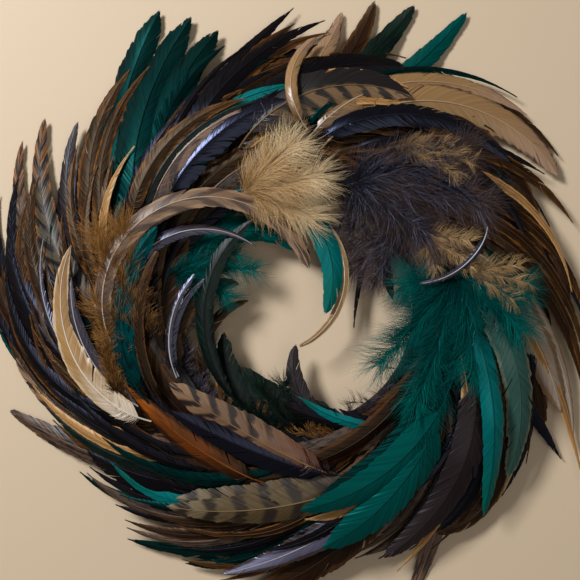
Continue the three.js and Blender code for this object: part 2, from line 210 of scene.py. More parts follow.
def add_quill(parts, spine, thickness):
    """A slightly flattened tube that tapers to the tip."""
    taper, least, flatness, lift, across = 0.7, 0.1, 0.8, 0.1, 0.004
    share = np.linspace(0, QUILL_END, QUILL_ROWS)
    radius = thickness * (1 - share) ** taper + least
    turn = np.linspace(0, 2 * math.pi, QUILL_SIDES + 1)
    p = np.repeat(share[:, None] * spine.length, QUILL_SIDES + 1, 1)
    q = radius[:, None] * np.cos(turn)
    n = radius[:, None] * np.sin(turn) * flatness + lift
    coords = np.stack([p / spine.length, q * across, np.full_like(p, QUILL_TONE)], -1)
    parts.add(spine.place(p, q, n), coords, grid_quads(QUILL_ROWS, QUILL_SIDES + 1))


def add_vane(parts, spine, shape, width, start, camber=0.25, ragged=0.03, barb_gap=0.7):
    """Both halves of a flat vane. Neighbouring barbs hold together except where the vane has split."""
    splits = SPLITS[shape]
    rows = max(12, int(spine.length * (1 - start) / barb_gap))
    across = np.linspace(0, 1, VANE_COLUMNS)
    share = np.linspace(start, 1, rows)
    for side in (-1, 1):
        half = outline(np.clip(share, 0.01, 0.995), shape) * width / 2
        angle = np.radians(BARB_ANGLE - BARB_CLOSING * share**1.5)
        noise = RANDOM.normal(0, EDGE_SWELL, rows + SWELL_ROWS - 1)
        swell = np.convolve(noise, np.hanning(SWELL_ROWS) / 4, mode="valid")
        reach = np.maximum(half / np.sin(angle), LEAST_BARB)
        room = spine.length * (1 - share) + TIP_OVERHANG
        reach = np.minimum(reach, room * TIP_SLOPE / (np.sin(angle) + np.cos(angle) * TIP_SLOPE))
        reach *= 1 + swell - ragged * RANDOM.random(rows)
        cuts = np.sort(RANDOM.choice(np.arange(2, rows - 2), splits, replace=False))
        lock = np.searchsorted(cuts, np.arange(rows), side="right")
        slide = RANDOM.normal(0, LOCK_SLIDE, splits + 1)[lock][:, None] * half[:, None]
        lift = RANDOM.normal(0, LOCK_LIFT, splits + 1)[lock][:, None] * half[:, None]
        ridge = RANDOM.normal(0, BARB_RIDGE, rows)[:, None]
        forward = reach * np.cos(angle)
        outward = reach * np.sin(angle)
        p = share[:, None] * spine.length + forward[:, None] * (across + 0.12 * across**2)
        p = p + slide * across**3
        q = side * outward[:, None] * (across - 0.06 * across**2)
        n = -camber * half[:, None] * across**1.6 + lift * across**2 + ridge * np.minimum(across * 4, 1)
        tone = np.repeat(RANDOM.random(rows)[:, None], VANE_COLUMNS, 1)
        coords = np.stack([p / (spine.length * 1.04), side * np.repeat(across[None], rows, 0), tone], -1)
        opens = RANDOM.integers(1, VANE_COLUMNS - 1, splits)
        keep = np.ones((rows - 1, VANE_COLUMNS - 1), bool)
        for cut, column in zip(cuts, opens):
            keep[cut - 1, column:] = False
        quads = grid_quads(rows, VANE_COLUMNS, keep)
        parts.add(spine.place(p, q, n), coords, quads if side > 0 else quads[:, ::-1])


def add_strands(parts, spine, shares, count, reach, angle=(35, 75), bend=25, rise=(0.0, 0.35), thick=0.24,
                wave=9, droop=0.25, clump=9):
    """Loose downy strands that leave the quill on both sides, gathered in clumps of about the given number.

    shares is the stretch of the quill that they leave. reach is a long strand's length in mm. angle, bend
    and wave are in degrees, rise and droop in shares of a strand's length, and thick in mm.
    """
    clumps = max(4, count // clump)
    owner = RANDOM.integers(0, clumps, count)
    share = RANDOM.uniform(*shares, clumps)[owner] + RANDOM.normal(0, 0.02, count)
    side = RANDOM.choice([-1, 1], clumps)[owner][:, None]
    long = (RANDOM.uniform(0.6, 1, clumps)[owner] * RANDOM.uniform(0.7, 1, count) * reach)[:, None]
    start = np.radians(RANDOM.uniform(*angle, clumps)[owner] + RANDOM.normal(0, 7, count))
    lift = RANDOM.uniform(*rise, clumps)[owner] + RANDOM.normal(0, 0.05, count)
    t = np.linspace(0, 1, STRAND_POINTS)
    swing = np.radians(bend) * RANDOM.uniform(0.2, 1.4, clumps)[owner]
    phase = RANDOM.uniform(0, 2 * math.pi, clumps)[owner] + RANDOM.normal(0, 0.4, count)
    sway = np.radians(wave) * np.sin(phase[:, None] + STRAND_RIPPLES * t)
    heading = start[:, None] - swing[:, None] * t + sway
    step = long / (STRAND_POINTS - 1)
    p = share[:, None] * spine.length + np.cumsum(np.cos(heading), 1) * step - np.cos(heading[:, :1]) * step
    q = side * (np.cumsum(np.sin(heading), 1) * step - np.sin(heading[:, :1]) * step)
    n = long * (lift[:, None] * t - droop * t**2) + 0.2
    half = thick / 2 * (1 - 0.8 * t) * RANDOM.uniform(0.6, 1.2, count)[:, None]
    lean = RANDOM.uniform(-0.8, 0.8, count)[:, None]
    edges = (
        (p + np.sin(heading) * half, p - np.sin(heading) * half),
        (q - side * np.cos(heading) * half, q + side * np.cos(heading) * half),
        (n + lean * half, n - lean * half),
    )
    p, q, n = (np.stack(pair, -1) for pair in edges)
    tone = np.broadcast_to(RANDOM.random(count)[:, None, None], p.shape)
    reached = side[..., None] * np.broadcast_to(t[None, :, None], p.shape)
    coords = np.stack([np.clip(p / spine.length, 0, 1), reached, tone], -1)
    ladder = grid_quads(STRAND_POINTS, 2)
    offsets = (np.arange(count) * STRAND_POINTS * 2)[:, None, None]
    parts.add(spine.place(p, q, n), coords, (ladder[None] + offsets).reshape(-1, 4))


def add_feather(parts, spine, width, shape, soft):
    """One whole feather: quill, vane and the loose barbs on the soft share of its length."""
    strands_per_mm = 2.4
    add_quill(parts, spine, quill_radius(width))
    add_vane(parts, spine, shape, width, soft)
    count = int(spine.length * (soft + 0.1) * strands_per_mm)
    add_strands(parts, spine, (0.02, soft + 0.12), count, width * 0.62)


def build_look(parts, name, look):
    """Makes the collected mesh into one piece with a feather look."""
    return parts.build(name, LOOKS[look], SLOTS[look])


def down_plume(name, look, root, radius, fan, curl, layer, reach, count):
    """A soft plume of loose strands on a fan of quills; fan lists each quill's (aim, length)."""
    parts = Parts()
    total = sum(length for _, length in fan)
    for aim, length in fan:
        spine = Spine(root, radius, aim, curl, length, layer)
        share_of_strands = int(count * length / total)
        add_quill(parts, spine, 0.4)
        add_strands(parts, spine, (0.0, 0.95), share_of_strands, reach, DOWN_ANGLES, DOWN_BEND,
                    DOWN_RISE, DOWN_THICKNESS, clump=5)
    return build_look(parts, name, look)


# ---- materials ----
class Nodes:
    """Short calls that build a material's node tree."""

    def __init__(self, name):
        self.material = bpy.data.materials.new(name)
        self.material.use_nodes = True
        self.tree = self.material.node_tree
        self.shader = self.tree.nodes["Principled BSDF"]

    def add(self, kind, **settings):
        node = self.tree.nodes.new(kind)
        for key, value in settings.items():
            setattr(node, key, value)
        return node

    def put(self, socket, value):
        if isinstance(value, bpy.types.NodeSocket):
            self.tree.links.new(value, socket)
        else:
            socket.default_value = value

    def finish(self, name, value):
        """Sets one input of the material's shader."""
        self.put(self.shader.inputs[name], value)

    def math(self, operation, first, second=0.0, third=0.0):
        node = self.add("ShaderNodeMath", operation=operation)
        for socket, value in zip(node.inputs, (first, second, third)):
            self.put(socket, value)
        return node.outputs[0]

    def ease(self, value, low, high):
        """0 below low, 1 above high and smooth between."""
        node = self.add("ShaderNodeMapRange", interpolation_type="SMOOTHSTEP")
        self.put(node.inputs["Value"], value)
        node.inputs["From Min"].default_value = low
        node.inputs["From Max"].default_value = high
        return node.outputs[0]

    def mix(self, share, first, second, blend="MIX"):
        node = self.add("ShaderNodeMix", data_type="RGBA", blend_type=blend)
        self.put(node.inputs["Factor"], share)
        self.put(node.inputs["A"], rgba(first))
        self.put(node.inputs["B"], rgba(second))
        return node.outputs["Result"]

    def coordinates(self):
        """The three coordinates stored with the mesh."""
        stored = self.add("ShaderNodeAttribute", attribute_name="feather")
        split = self.add("ShaderNodeSeparateXYZ")
        self.put(split.inputs[0], stored.outputs["Vector"])
        return split.outputs

    def noise(self, vector, scale, detail=2.0):
        node = self.add("ShaderNodeTexNoise")
        self.put(node.inputs["Vector"], vector)
        node.inputs["Scale"].default_value = scale
        node.inputs["Detail"].default_value = detail
        return node.outputs["Fac"]


def rgba(color):
    """A 0 to 255 screen colour as linear RGBA, or a socket as it is."""
    if isinstance(color, bpy.types.NodeSocket):
        return color
    channels = [c / 255 for c in color]
    linear = [c / 12.92 if c <= 0.04045 else ((c + 0.055) / 1.055) ** 2.4 for c in channels]
    return (*linear, 1.0)


ROOT_FADE, TIP_FADE = (0.12, 0.45), (0.6, 0.95)  # shares of the length over which the colours change
LOOKS = {}  # the feather materials by name


def add_look(name, root, middle, tip, edge=None, edge_from=0.55, edge_soft=0.22, bar=None, bars=9,
             bars_from=0.0, slant=0.08, mottle=None, mottle_scale=3, quill=(150, 120, 90), roughness=0.4,
             gloss=0.45, gloss_tint=(255, 255, 255), contrast=0.5, outer_half=None):
    """A feather's finish in its own coordinates: share of the length, share of the half width, barb tone.

    The first colours run from root to tip. edge colours the rim, bar the cross bars, mottle the blotches and
    outer_half one whole side. contrast is how much the barbs differ in tone.
    """
    nodes = Nodes(f"{name}_finish")
    along, across, tone = nodes.coordinates()
    away = nodes.math("ABSOLUTE", across)
    place = nodes.add("ShaderNodeCombineXYZ")
    nodes.put(place.inputs[0], nodes.math("MULTIPLY", along, 3.0))
    nodes.put(place.inputs[1], across)
    wander = nodes.noise(place.outputs[0], 2.2)
    drift = nodes.math("MULTIPLY_ADD", nodes.math("SUBTRACT", wander, 0.5), 0.35, along)
    color = nodes.mix(nodes.ease(drift, *ROOT_FADE), root, middle)
    color = nodes.mix(nodes.ease(drift, *TIP_FADE), color, tip)
    if edge is not None:
        ragged_edge = nodes.math("MULTIPLY_ADD", nodes.math("SUBTRACT", wander, 0.5), 0.6, away)
        color = nodes.mix(nodes.ease(ragged_edge, edge_from, edge_from + edge_soft), color, edge)
    if bar is not None:
        chevron = nodes.math("MULTIPLY_ADD", away, -slant, along)
        shaken = nodes.math("MULTIPLY_ADD", wander, 0.05, chevron)
        wave = nodes.math("SINE", nodes.math("MULTIPLY", shaken, 2 * math.pi * bars))
        uneven = nodes.math("MULTIPLY_ADD", nodes.math("SUBTRACT", wander, 0.5), 2.4, wave)
        begun = nodes.ease(drift, bars_from, bars_from + 0.2)
        shown = nodes.math("MULTIPLY", nodes.ease(uneven, -0.4, 0.9), begun)
        color = nodes.mix(shown, color, bar)
    if mottle is not None:
        spots = nodes.noise(place.outputs[0], mottle_scale, 3.0)
        color = nodes.mix(nodes.ease(spots, 0.47, 0.6), color, mottle)
    if outer_half is not None:
        color = nodes.mix(nodes.ease(across, -0.1, 0.2), color, outer_half)
    shade = nodes.math("MULTIPLY_ADD", tone, contrast, 1 - contrast / 2)
    is_quill = nodes.math("GREATER_THAN", tone, QUILL_TONE * 0.75)
    gray = nodes.add("ShaderNodeCombineColor")
    for socket in gray.inputs:
        nodes.put(socket, shade)
    color = nodes.mix(1.0, color, gray.outputs[0], "MULTIPLY")
    color = nodes.mix(is_quill, color, quill)
    nodes.finish("Base Color", color)
    nodes.finish("Roughness", roughness)
    nodes.finish("Specular IOR Level", gloss)
    nodes.finish("Specular Tint", rgba(gloss_tint))
    LOOKS[name] = nodes.material


# All colours are 0 to 255 screen colours.
BLUE_GLOSS = (205, 214, 255)
WARM_GLOSS = (255, 226, 190)
TEAL_GLOSS = (50, 190, 185)
add_look("teal", (0, 28, 26), (0, 66, 61), (0, 60, 55), gloss_tint=TEAL_GLOSS, gloss=0.4, quill=(0, 42, 39))
add_look("dark_teal", (0, 24, 25), (0, 25, 23), (4, 21, 17), quill=(4, 12, 11), mottle=(2, 14, 12),
         gloss_tint=TEAL_GLOSS, gloss=0.35, contrast=0.8)
add_look("bright_teal", (0, 50, 54), (0, 96, 94), (0, 84, 72), quill=(0, 60, 60), roughness=0.33, gloss=0.6,
         gloss_tint=(110, 230, 235))
add_look("green", (4, 12, 10), (4, 25, 17), (8, 34, 22), quill=(5, 16, 12), gloss=0.2, mottle=(3, 14, 10),
         mottle_scale=2.4)
add_look("black", (5, 4, 3), (10, 7, 6), (17, 12, 9), quill=(18, 14, 14), roughness=0.36, gloss=0.18,
         gloss_tint=BLUE_GLOSS)
add_look("blue_black", (6, 5, 6), (11, 9, 11), (16, 12, 15), quill=(18, 14, 16), roughness=0.26, gloss=0.45,
         gloss_tint=(190, 203, 255))
add_look("plum", (16, 10, 10), (30, 20, 22), (38, 26, 28), quill=(26, 18, 18), gloss=0.25)
add_look("brown", (12, 6, 3), (30, 16, 8), (48, 28, 14), edge=(72, 43, 20), edge_from=0.66,
         quill=(44, 30, 20), contrast=0.7, gloss=0.22, gloss_tint=WARM_GLOSS)
add_look("gold_edge", (20, 10, 4), (38, 20, 7), (82, 48, 18), edge=(110, 68, 28), edge_from=0.45,
         edge_soft=0.6, quill=(70, 46, 24), gloss=0.22, gloss_tint=WARM_GLOSS, mottle=(26, 13, 5),
         mottle_scale=2.6, contrast=0.8)
add_look("ginger", (84, 50, 20), (150, 104, 54), (162, 116, 64), edge=(182, 140, 88), quill=(170, 134, 88),
         contrast=0.35, gloss_tint=WARM_GLOSS)
add_look("orange", (30, 14, 5), (90, 42, 10), (160, 80, 12), edge=(44, 20, 8), edge_from=0.6,
         quill=(120, 66, 24), gloss_tint=WARM_GLOSS, gloss=0.3)
add_look("cream", (206, 188, 164), (156, 118, 70), (138, 100, 58), edge=(196, 168, 130), edge_from=0.7,
         quill=(220, 206, 184), roughness=0.36, contrast=0.3)
add_look("tan", (110, 80, 48), (150, 114, 72), (150, 116, 88), edge=(66, 46, 32), edge_from=0.82,
         quill=(176, 146, 112), roughness=0.34, gloss=0.6, contrast=0.25)
add_look("rosy", (40, 30, 26), (116, 88, 70), (128, 94, 70), mottle=(56, 42, 36), mottle_scale=2.4,
         quill=(150, 122, 98), contrast=0.3)
add_look("olive_barred", (48, 34, 18), (84, 66, 36), (112, 96, 70), bar=(40, 28, 15), bars=8, slant=0.03,
         quill=(120, 96, 60), contrast=0.4)
add_look("barred", (88, 50, 32), (112, 82, 58), (140, 108, 78), bar=(38, 26, 20), bars_from=0.3,
         quill=(124, 92, 60), contrast=0.4)
add_look("half_barred", (30, 22, 18), (112, 84, 52), (128, 98, 66), bar=(26, 20, 16), bars=10,
         quill=(104, 80, 52), contrast=0.4, outer_half=(24, 18, 16))
add_look("pearl", (110, 84, 56), (158, 138, 118), (150, 132, 118), edge=(122, 92, 58), edge_from=0.6,
         quill=(190, 172, 150), gloss=0.7, roughness=0.3, contrast=0.3)
# A brown feather whose lavender-blue middle and tip are a painted blue-white sheen.
add_look("brown_with_painted_sheen", (36, 26, 22), (96, 92, 112), (126, 126, 150), edge=(62, 46, 36), edge_from=0.6,
         quill=(176, 166, 160), gloss=0.9, roughness=0.28, gloss_tint=BLUE_GLOSS, contrast=0.35)
add_look("gold_barred", (26, 30, 32), (68, 60, 46), (122, 76, 30), bar=(22, 16, 13), bars=14, slant=0.06,
         edge=(126, 78, 30), edge_from=0.76, quill=(96, 70, 44), contrast=0.35, gloss=0.25)
add_look("arch", (78, 55, 38), (120, 92, 68), (136, 104, 76), bar=(74, 54, 42), edge=(146, 116, 88),
         edge_from=0.6, quill=(176, 152, 126), contrast=0.3)
add_look("mottled", (30, 21, 16), (78, 57, 42), (92, 66, 46), mottle=(28, 20, 16), mottle_scale=5,
         quill=(90, 70, 54), contrast=0.35)
add_look("spotted", (0, 30, 30), (0, 54, 56), (0, 46, 46), mottle=(5, 17, 20), mottle_scale=4,
         quill=(10, 38, 38), gloss=0.25, gloss_tint=TEAL_GLOSS)
# A dark feather: its near-white quill is a painted highlight line, and the grey-violet towards its tip is a
# painted sheen.
add_look("dark_with_painted_glint", (20, 15, 13), (44, 36, 36), (78, 70, 74), edge=(30, 21, 17), quill=(190, 186, 186),
         gloss=0.8, roughness=0.28, gloss_tint=BLUE_GLOSS)
add_look("grey_green", (8, 50, 46), (40, 78, 68), (38, 74, 62), edge=(96, 104, 84), edge_from=0.74,
         quill=(50, 84, 74))
add_look("cream_down", (158, 120, 72), (196, 160, 110), (212, 184, 140), roughness=0.7,
         quill=(160, 128, 84), contrast=0.5, gloss=0.3)
add_look("tan_down", (90, 64, 38), (150, 118, 76), (180, 146, 100), roughness=0.7, quill=(90, 68, 46),
         contrast=0.6, gloss=0.3)
add_look("black_down", (20, 14, 15), (32, 24, 24), (64, 47, 38), roughness=0.45, edge=(86, 66, 56),
         edge_from=0.62, quill=(26, 20, 21), gloss_tint=BLUE_GLOSS)
# Teal down: its lighter tips and strong strand-to-strand contrast are partly the down's own colour and
# partly painted satin highlights.
add_look("teal_down", (0, 42, 39), (0, 70, 65), (0, 88, 80), roughness=0.5, gloss=0.3,
         gloss_tint=TEAL_GLOSS, quill=(0, 40, 38), contrast=0.8)
add_look("brown_down", (30, 17, 6), (84, 52, 20), (128, 88, 44), roughness=0.6, edge=(150, 104, 52),
         edge_from=0.62, quill=(56, 36, 18), contrast=0.9, gloss=0.2, gloss_tint=WARM_GLOSS)

# The record's material slot that each look belongs to.
SLOT_LOOKS = {
    "feather_teal": ["teal", "dark_teal", "bright_teal", "green", "spotted", "grey_green", "teal_down"],
    "feather_black": ["black", "blue_black", "plum", "dark_with_painted_glint", "brown_with_painted_sheen", "black_down"],
    "feather_brown": ["brown", "gold_edge", "rosy", "mottled", "brown_down"],
    "feather_ginger": ["ginger", "orange"],
    "feather_cream": ["cream", "tan", "pearl", "arch", "cream_down", "tan_down"],
    "feather_barred": ["barred", "olive_barred", "half_barred", "gold_barred"],
}
SLOTS = {look: slot for slot, looks in SLOT_LOOKS.items() for look in looks}


# ---- the feathers ----
# look, root, radius, aim, curl, length, width, layer, outline and the share that is loose, then, where the
# feather is a piece of its own, its name and the CAD nodes that it stands for. The others lie beside it.
FEATHERS = [
    ("dark_teal", 171, 93, 33, 53, 175, 30, 2.0, "broad", 0.12, "dark_teal_feather_1", "outer_feather_09"),
    ("dark_teal", 168, 91, 29, 51, 167, 30, 2.9, "broad", 0.12),
    ("dark_teal", 164, 87, 29, 53, 156, 26, 1.5, "broad", 0.12),
    ("cream", 169, 92, 31, 52, 162, 18, 0.8, "broad", 0.1),
    ("gold_edge", 176, 95, 48, 82, 153, 18, 2.5, "lance", 0.1, "brown_gold_feather_1", "outer_feather_10"),
    ("gold_edge", 174, 95, 44, 80, 150, 12, 3.2, "lance", 0.1),
    ("plum", 184, 89, 56, 79, 140, 14, 2.0, "broad", 0.1),
    ("gold_barred", 194, 88, 52, 79, 168, 18, 2.2, "broad", 0.1, "chevron_feather", "outer_feather_11"),
    ("gold_barred", 202, 89, 55, 90, 180, 15, 1.2, "broad", 0.1, "left_barred_feather", "outer_feather_12"),
    ("gold_edge", 206, 89, 72, 122, 168, 13, 1.6, "lance", 0.1),
    ("brown", 200, 92, 66, 108, 156, 13, 2.6, "lance", 0.1),
    ("black", 215, 95, 50, 80, 152, 24, 2.0, "lance", 0.12),
    ("cream", 217, 108, 35, 96, 127, 16, 6.4, "taper", 0.06, "long_golden_feather", "golden_cream_feather"),
    ("teal", 222, 95, 60, 72, 132, 10, 0.6, "lance", 0.1),
    ("black", 210, 92, 66, 104, 160, 15, 1.4, "lance", 0.1),
    ("brown", 218, 92, 62, 96, 156, 14, 0.9, "lance", 0.1),
    ("gold_edge", 224, 94, 60, 96, 150, 9, 2.2, "lance", 0.1),
    ("black", 229, 93, 56, 90, 150, 14, 1.0, "lance", 0.1),
    ("black", 204, 92, 66, 108, 172, 14, 1.8, "lance", 0.1),
    ("brown", 234, 94, 50, 80, 148, 14, 1.4, "lance", 0.1),
    ("brown", 197, 92, 62, 104, 166, 12, 1.2, "lance", 0.1),
    ("black", 222, 94, 58, 98, 158, 11, 2.8, "lance", 0.1),
    ("black", 206, 92, 70, 108, 176, 15, 0.8, "lance", 0.1),
    ("brown", 212, 92, 68, 104, 172, 14, 1.2, "lance", 0.1),
    ("black", 219, 92, 66, 100, 168, 14, 0.8, "lance", 0.1),
    ("dark_with_painted_glint", 214, 96, 52, 100, 140, 7, 3.8, "lance", 0.1),
    ("ginger", 238, 100, 42, 60, 120, 8, 3.0, "lance", 0.1),
    ("black", 240, 108, 20, 40, 92, 7, 5.2, "lance", 0.1),
    ("dark_with_painted_glint", 216, 104, 30, 70, 100, 12, 5.0, "lance", 0.1),
    ("mottled", 252, 94, 30, 45, 154, 19, 1.0, "broad", 0.1, "mottled_tip_feather", "outer_feather_14"),
    ("barred", 234, 100, 45, 67, 132, 17, 1.6, "broad", 0.1, "grey_barred_feather", "outer_feather_13"),
    ("green", 245, 98, 40, 60, 120, 11, 2.0, "lance", 0.1),
    ("bright_teal", 260, 97, 54, 94, 106, 10, 2.4, "lance", 0.1),
    ("black", 262, 98, 24, 44, 116, 26, 1.8, "broad", 0.1),
    ("orange", 259, 104, -12, 26, 100, 15, 5.0, "lance", 0.1, "orange_brown_feather", "orange_brown_plume"),
    ("dark_teal", 282, 92, 49, 78, 144, 15, 1.0, "lance", 0.1, "lower_teal_feather_1", "outer_feather_15"),
    ("dark_teal", 289, 95, 50, 72, 127, 17, 1.3, "lance", 0.1),
    ("dark_teal", 285, 96, 44, 70, 128, 24, 0.8, "broad", 0.1),
    ("barred", 281, 98, -34, 14, 108, 23, 6.6, "lance", 0.05, "broad_barred_feather", "broad_barred_plume"),
    ("blue_black", 283, 100, -26, 18, 104, 18, 6.2, "lance", 0.08),
    ("olive_barred", 297, 108, -2, 33, 129, 22, 4.6, "lance", 0.08, "olive_brown_barred_feather",
     "olive_barred_feather"),
    ("olive_barred", 292, 104, 2, 34, 112, 24, 4.0, "broad", 0.08),
    ("brown_with_painted_sheen", 313, 107, 11, 39, 147, 20, 3.4, "lance", 0.08, "blue_sheen_feather", "outer_feather_16"),
    ("brown", 315, 100, 26, 50, 152, 26, 2.0, "broad", 0.08, "lower_brown_feather", "outer_feather_17"),
    ("teal", 13, 96, -1, 93, 184, 22, 6.2, "leaf", 0.45, "teal_lobe_feather_1", "long_teal_plume"),
    ("teal", 4, 91, 2, 68, 174, 25, 5.4, "leaf", 0.42),
    ("dark_teal", 8, 94, -1, 82, 160, 24, 5.8, "leaf", 0.45),
    ("bright_teal", 13, 93, 12, 34, 147, 14, 7.7, "leaf", 0.25, "narrow_bright_teal_feather",
     "bright_teal_feather"),
    ("grey_green", 13, 96, 34, 65, 132, 20, 6.6, "broad", 0.2, "grey_green_feather", "outer_feather_02"),
    ("plum", 353, 98, 26, 76, 154, 22, 5.2, "broad", 0.2, "plum_black_feather", "outer_feather_01",
     "purple_black_feather"),
    ("ginger", 348, 96, 28, 60, 149, 9, 4.7, "lance", 0.15, "lower_tan_feather", "outer_feather_18"),
    ("black", 338, 111, 51, 81, 100, 13, 4.2, "broad", 0.1),
    ("brown", 329, 127, 76, 129, 92, 13, 3.4, "broad", 0.1),
    ("ginger", 5, 100, 40, 70, 132, 6, 4.8, "lance", 0.1),
    ("rosy", 335, 100, 30, 30, 150, 15, 0.2, "broad", 0.1),
    ("ginger", 26, 95, 26, 42, 176, 8, 4.2, "lance", 0.1, "right_ginger_feather", "outer_feather_03"),
    ("pearl", 31, 93, 36, 66, 167, 10, 3.6, "lance", 0.1),
    ("pearl", 24, 95, 32, 40, 126, 24, 4.2, "broad", 0.2),
    ("blue_black", 12, 87, 25, 4, 134, 13, 1.5, "lance", 0.1),
    ("gold_edge", 50, 94, 46, 86, 162, 9, 4.2, "lance", 0.1, "right_thin_feather_1", "outer_feather_04"),
    ("brown", 54, 95, 48, 96, 152, 10, 3.6, "lance", 0.1),
    ("black", 46, 95, 46, 84, 164, 9, 3.0, "lance", 0.1),
    ("ginger", 57, 96, 50, 98, 150, 6, 4.8, "lance", 0.1),
    ("gold_edge", 38, 96, 40, 72, 156, 9, 6.4, "lance", 0.1),
    ("gold_edge", 43, 95, 43, 80, 158, 8, 5.8, "lance", 0.1),
    ("brown", 34, 97, 38, 62, 150, 8, 5.6, "lance", 0.1),
    ("brown", 60, 97, 70, 131, 134, 15, 2.0, "broad", 0.1),
    ("black", 66, 97, 42, 96, 126, 8, 5.0, "lance", 0.1),
    ("gold_edge", 67, 97, 47, 80, 146, 11, 4.0, "lance", 0.1, "tan_streak_feather", "smoky_feather"),
    ("tan", 82, 97, 54, 104, 168, 25, 3.6, "broad", 0.1, "large_tan_feather", "outer_feather_05"),
    ("brown", 83, 99, 57, 104, 170, 14, 3.0, "lance", 0.1),
    ("blue_black", 86, 97, 40, 80, 130, 15, 5.0, "broad", 0.1),
    ("tan", 89, 96, 55, 90, 156, 15, 4.0, "lance", 0.1),
    ("dark_teal", 92, 97, 57, 92, 158, 6, 4.4, "lance", 0.1),
    ("teal", 95, 96, 20, -26, 143, 16, 2.0, "leaf", 0.1, "upper_teal_leaf", "outer_feather_06"),
    ("green", 102, 95, 28, -12, 131, 17, 2.0, "leaf", 0.1),
    ("brown", 108, 94, 17, -36, 128, 15, 1.8, "leaf", 0.1),
    ("tan", 112, 94, 25, -18, 108, 20, 1.6, "broad", 0.1, "upper_cream_feather_1", "outer_feather_07"),
    ("tan", 110, 94, 27, -22, 112, 15, 1.2, "broad", 0.1),
    ("black", 145, 100, 20, 34, 152, 14, 3.0, "lance", 0.1, "long_dark_feather_1", "outer_feather_08"),
    ("black", 138, 99, 33, 61, 149, 13, 3.4, "lance", 0.1),
    ("brown", 142, 99, 26, 44, 140, 15, 2.8, "lance", 0.1),
    ("tan", 87, 106, 133, 90, 64, 8, 7.4, "ribbon", 0.1),
    ("bright_teal", 112, 126, 8, 20, 46, 7, 4.8, "lance", 0.05),
    ("gold_edge", 156, 108, 21, 75, 112, 12, 5.0, "lance", 0.1),
    ("green", 153, 104, 20, 70, 106, 8, 4.6, "lance", 0.1),
    ("rosy", 152, 101, 20, 68, 101, 19, 4.4, "broad", 0.1, "rosy_brown_feather", "rosy_tan_feather"),
    ("blue_black", 142, 100, 14, 50, 96, 20, 4.9, "broad", 0.1),
    ("ginger", 90, 136, 20, 45, 66, 7, 4.6, "lance", 0.05),
    ("half_barred", 110, 102, 35, 77, 114, 27, 5.2, "broad", 0.1, "half_barred_feather", "mottled_feather"),
    ("black", 115, 104, 36, 72, 128, 20, 4.6, "broad", 0.1),
    ("dark_with_painted_glint", 24, 120, -39, 70, 54, 4, 9.4, "ribbon", 0.05),
    ("blue_black", 60, 96, 38, 60, 66, 6, 7.6, "lance", 0.1),
    ("blue_black", 64, 92, 30, 50, 70, 6, 7.8, "lance", 0.1),
    ("arch", 191, 110, 12, 184, 198, 13, 7.4, "ribbon", 0.08, "arching_feather", "arching_barred_plume"),
    ("arch", 189, 106, 12, 176, 184, 12, 7.0, "ribbon", 0.08),
    ("dark_with_painted_glint", 193, 104, 10, 150, 132, 10, 6.4, "lance", 0.08),
    ("bright_teal", 118, 80, -21, 122, 109, 15, 5.8, "leaf", 0.05, "bright_teal_curl", "glossy_teal_curl"),
    ("cream", 94, 64, -22, 138, 110, 6, 4.2, "ribbon", 0.05),
    ("spotted", 212, 103, 5, 81, 112, 19, 7.4, "broad", 0.1, "blue_spotted_feather",
     "spotted_teal_feather"),
    ("brown", 214, 96, -2, 62, 92, 7, 8.0, "ribbon", 0.08),
    ("dark_with_painted_glint", 209, 82, -8, 62, 64, 5, 6.0, "ribbon", 0.08),
    ("brown", 199, 74, -3, 114, 62, 12, 3.6, "broad", 0.08, "inner_brown_feather", "inner_feather_4"),
    ("dark_with_painted_glint", 209, 81, -4, 90, 72, 8, 4.8, "lance", 0.08),
    ("brown", 222, 70, -10, 110, 66, 9, 1.6, "broad", 0.08),
    ("green", 240, 66, -14, 100, 126, 12, 5.4, "leaf", 0.08, "inner_green_feather", "inner_feather_5"),
    ("green", 285, 68, -30, 30, 64, 15, 1.4, "broad", 0.08),
    ("green", 268, 72, -22, 40, 60, 18, 1.8, "broad", 0.15),
    ("green", 296, 76, -34, 30, 58, 18, 1.2, "broad", 0.15),
    ("green", 252, 74, -26, 50, 62, 16, 2.4, "broad", 0.15),
    ("bright_teal", 307, 86, -35, 41, 54, 7, 4.2, "lance", 0.08),
    ("black", 308, 84, -28, 40, 62, 16, 3.4, "broad", 0.08, "lower_inner_black_feather", "inner_feather_6"),
    ("plum", 289, 76, -40, 84, 62, 13, 3.4, "lance", 0.08),
    ("black", 46, 67, -66, -16, 60, 4, 1.0, "lance", 0.08, "right_inner_feather_1", "inner_feather_1"),
    ("black", 52, 76, -44, -6, 54, 10, 1.4, "lance", 0.1),
    ("teal", 160, 80, -18, 96, 92, 17, 2.6, "broad", 0.3, "inner_teal_feather_1", "inner_feather_3"),
    ("teal", 172, 82, -14, 90, 88, 15, 3.2, "broad", 0.4, "inner_teal_feather_2", "inner_feather_2"),
]


def build_feathers():
    """A feather that stands for CAD nodes is a piece; the others of each look are gathered in one piece."""
    gathered = {}
    for look, root, radius, aim, curl, length, width, layer, shape, soft, *names in FEATHERS:
        parts = Parts() if names else gathered.setdefault(look, Parts())
        add_feather(parts, Spine(root, radius, aim, curl, length, layer), width, shape, soft)
        if names:
            name, *nodes = names
            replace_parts(build_look(parts, name, look), *nodes)
    for look, parts in gathered.items():
        build_look(parts, f"neighbouring_{look}_feathers", look)


